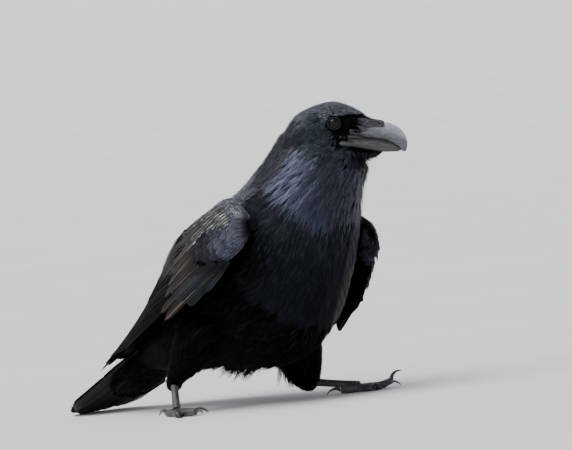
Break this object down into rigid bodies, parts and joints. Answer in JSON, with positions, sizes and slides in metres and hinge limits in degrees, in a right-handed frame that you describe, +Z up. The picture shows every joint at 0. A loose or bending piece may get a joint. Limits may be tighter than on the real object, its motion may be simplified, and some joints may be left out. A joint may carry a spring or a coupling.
{
  "type": "raven",
  "caption": "Life-size standing raven with its head turned aside, wings folded and tail tip on the ground.",
  "frame": {"origin": "middle of the bird's bounding box, on the floor under the soles", "axes": "+Z up; the trunk heads towards -Y; the bird's left side is +X"},
  "size_m": [0.2262, 0.5024, 0.3099],
  "materials": {
    "plumage": "black body feathers with a faint blue-violet sheen",
    "flight_feather": "black-brown flight feathers, browner where worn",
    "bill": "dark grey horn, polished along the ridge",
    "leg_scale": "grey-black scaled skin",
    "claw": "glossy black horn",
    "eye": "wet dark brown iris with a black pupil"
  },
  "bodies": {
    "root": {"belly": "plumage", "bill_lower": "bill", "bill_upper": "bill", "breast": "plumage", "chin": "plumage", "claw_left_hind": "claw", "claw_left_inner": "claw", "claw_left_middle": "claw", "claw_left_outer": "claw", "claw_right_hind": "claw", "claw_right_inner": "claw", "claw_right_middle": "claw", "claw_right_outer": "claw", "eye_left": "eye", "eye_right": "eye", "foot_left": "leg_scale", "foot_right": "leg_scale", "head": "plumage", "nasal_tuft": "plumage", "neck": "plumage", "rump": "plumage", "shank_left": "leg_scale", "shank_right": "leg_scale", "tail": "flight_feather", "thigh_left": "plumage", "thigh_right": "plumage", "undertail": "plumage", "wing_left_arm": "flight_feather", "wing_left_primaries": "flight_feather", "wing_left_secondaries": "flight_feather", "wing_right_arm": "flight_feather", "wing_right_primaries": "flight_feather", "wing_right_secondaries": "flight_feather"}
  },
  "joints": []
}
